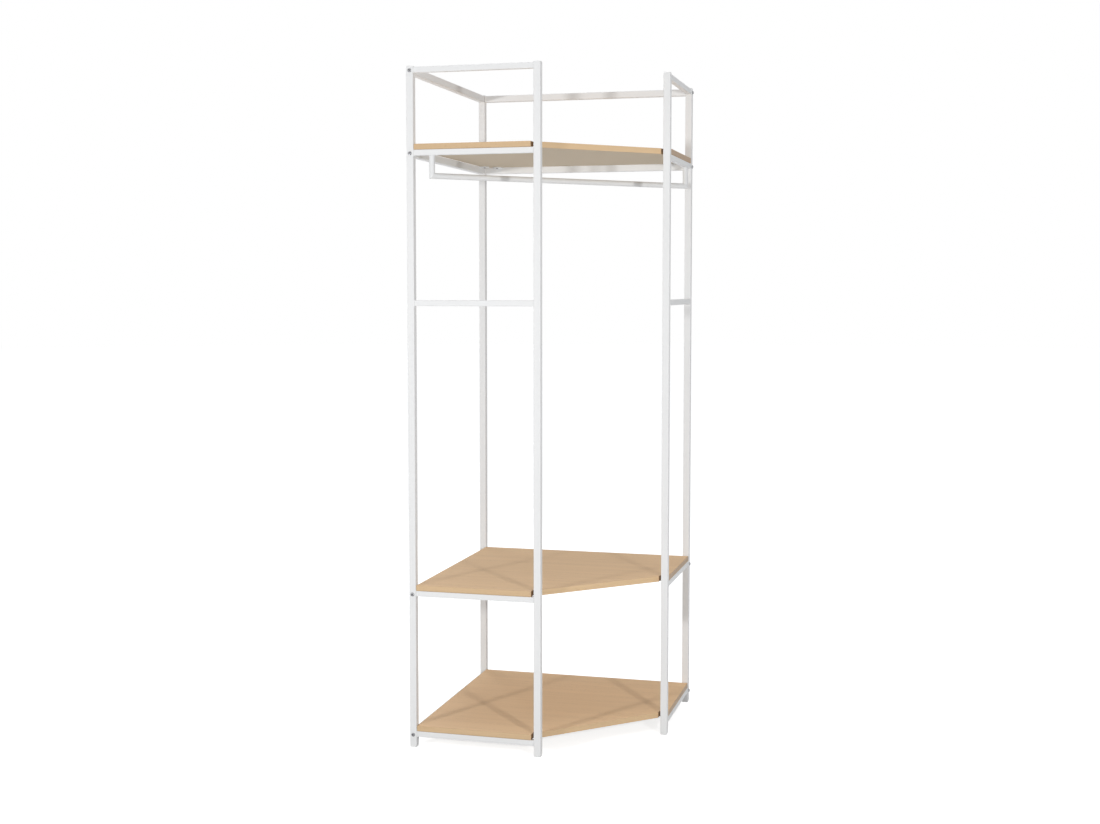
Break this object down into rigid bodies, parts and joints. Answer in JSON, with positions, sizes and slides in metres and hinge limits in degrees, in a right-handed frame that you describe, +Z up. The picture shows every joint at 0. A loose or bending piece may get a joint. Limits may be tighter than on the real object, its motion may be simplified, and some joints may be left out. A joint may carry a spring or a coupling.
{
  "type": "corner clothes rack",
  "caption": "Tall open corner clothes rack: white square-tube frame with a cut-off front corner, oak-look boards at the base, low down and near the top, and a round hanging bar.",
  "frame": {"origin": "on the floor, under the middle of the square plan of post centres", "axes": "+Z up; one wall is at -X and the other at +Y, and the open cut-off front faces +X and -Y"},
  "size_m": [0.6833, 0.6833, 1.9],
  "materials": {
    "white_powder_coat": "fine satin powder coat",
    "white_plastic": "satin moulded plastic",
    "oak_board": "light oak-look foil with fine straight grain",
    "oak_edging": "light oak-look edging strip",
    "zinc_bolts": "zinc plate, a little dulled",
    "threaded_plugs": "die-cast, plain"
  },
  "bodies": {
    "root": {"back_wall_bolts": "zinc_bolts", "back_wall_plugs": "threaded_plugs", "back_wall_rail_base": "white_powder_coat", "back_wall_rail_lower": "white_powder_coat", "back_wall_rail_top": "white_powder_coat", "back_wall_rail_upper": "white_powder_coat", "back_wall_spigots": "white_powder_coat", "cap_corner": "white_plastic", "cap_left_front": "white_plastic", "cap_left_outer": "white_plastic", "cap_right_front": "white_plastic", "cap_right_outer": "white_plastic", "foot_corner": "white_plastic", "foot_left_front": "white_plastic", "foot_left_outer": "white_plastic", "foot_right_front": "white_plastic", "foot_right_outer": "white_plastic", "hanging_bar": "white_powder_coat", "hanging_bar_bolts": "zinc_bolts", "hanging_bar_drop_left": "white_powder_coat", "hanging_bar_drop_right": "white_powder_coat", "hanging_bar_plugs": "threaded_plugs", "left_end_rail_base": "white_powder_coat", "left_end_rail_lower": "white_powder_coat", "left_end_rail_middle": "white_powder_coat", "left_end_rail_top": "white_powder_coat", "left_end_rail_upper": "white_powder_coat", "left_wall_bolts": "zinc_bolts", "left_wall_plugs": "threaded_plugs", "left_wall_rail_base": "white_powder_coat", "left_wall_rail_lower": "white_powder_coat", "left_wall_rail_top": "white_powder_coat", "left_wall_rail_upper": "white_powder_coat", "left_wall_spigots": "white_powder_coat", "post_corner": "white_powder_coat", "post_left_front": "white_powder_coat", "post_left_outer": "white_powder_coat", "post_right_front": "white_powder_coat", "post_right_outer": "white_powder_coat", "right_end_rail_base": "white_powder_coat", "right_end_rail_lower": "white_powder_coat", "right_end_rail_middle": "white_powder_coat", "right_end_rail_top": "white_powder_coat", "right_end_rail_upper": "white_powder_coat", "shelf_board_base": "oak_board", "shelf_board_lower": "oak_board", "shelf_board_upper": "oak_board", "shelf_edging_base": "oak_edging", "shelf_edging_lower": "oak_edging", "shelf_edging_upper": "oak_edging", "shelf_tabs_base": "white_powder_coat", "shelf_tabs_lower": "white_powder_coat", "shelf_tabs_upper": "white_powder_coat"}
  },
  "joints": []
}
